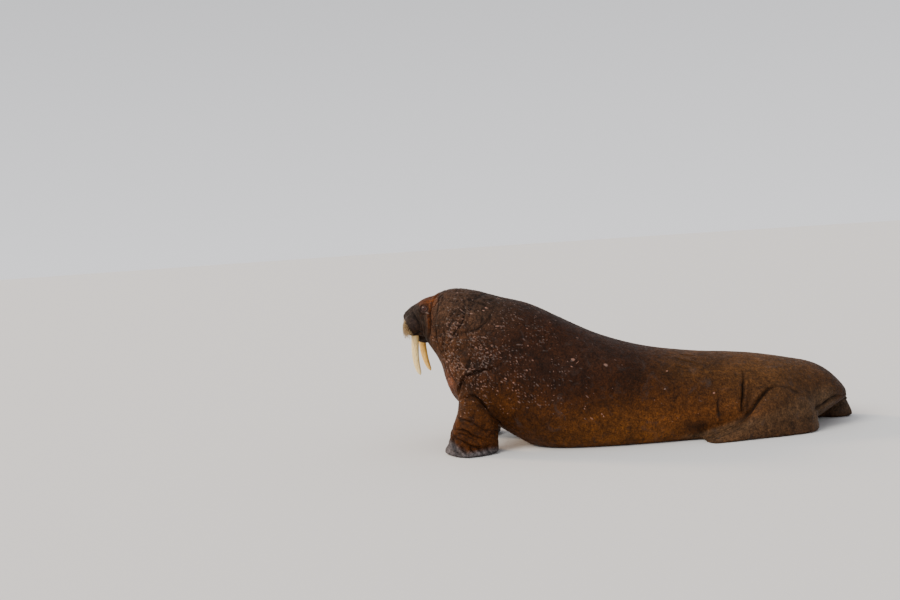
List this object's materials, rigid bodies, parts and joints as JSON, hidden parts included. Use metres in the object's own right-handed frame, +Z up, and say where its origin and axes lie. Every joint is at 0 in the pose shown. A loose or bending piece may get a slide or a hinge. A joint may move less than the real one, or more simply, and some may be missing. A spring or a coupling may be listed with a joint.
{
  "type": "walrus",
  "caption": "Still life-size walrus bull lying on its belly, propped on its fore flippers with the head raised; whiskered muzzle, long tusks and thick folded hide.",
  "frame": {"origin": "on the floor under the middle of the whole animal's box", "axes": "+X towards the tail, so the head looks towards -X; +Z up; the animal's left side faces -Y"},
  "size_m": [3.1528, 1.0904, 1.0969],
  "materials": {
    "hide": "rough, wrinkled and knobbed, with very short sparse hair",
    "muzzle_skin": "matt, finely grained",
    "flipper_skin": "matt, bare and creased",
    "ivory": "polished, with long brown streaks",
    "eye": "wet gloss"
  },
  "bodies": {
    "root": {"muzzle": "muzzle_skin", "head": "muzzle_skin", "lower_jaw": "muzzle_skin", "neck": "hide", "chest": "hide", "belly": "hide", "rump": "hide", "tail": "hide", "eye_left": "eye", "eye_right": "eye", "tusk_left": "ivory", "tusk_right": "ivory", "fore_flipper_left": "flipper_skin", "fore_flipper_right": "flipper_skin", "hind_flipper_left": "flipper_skin", "hind_flipper_right": "flipper_skin"}
  },
  "joints": []
}
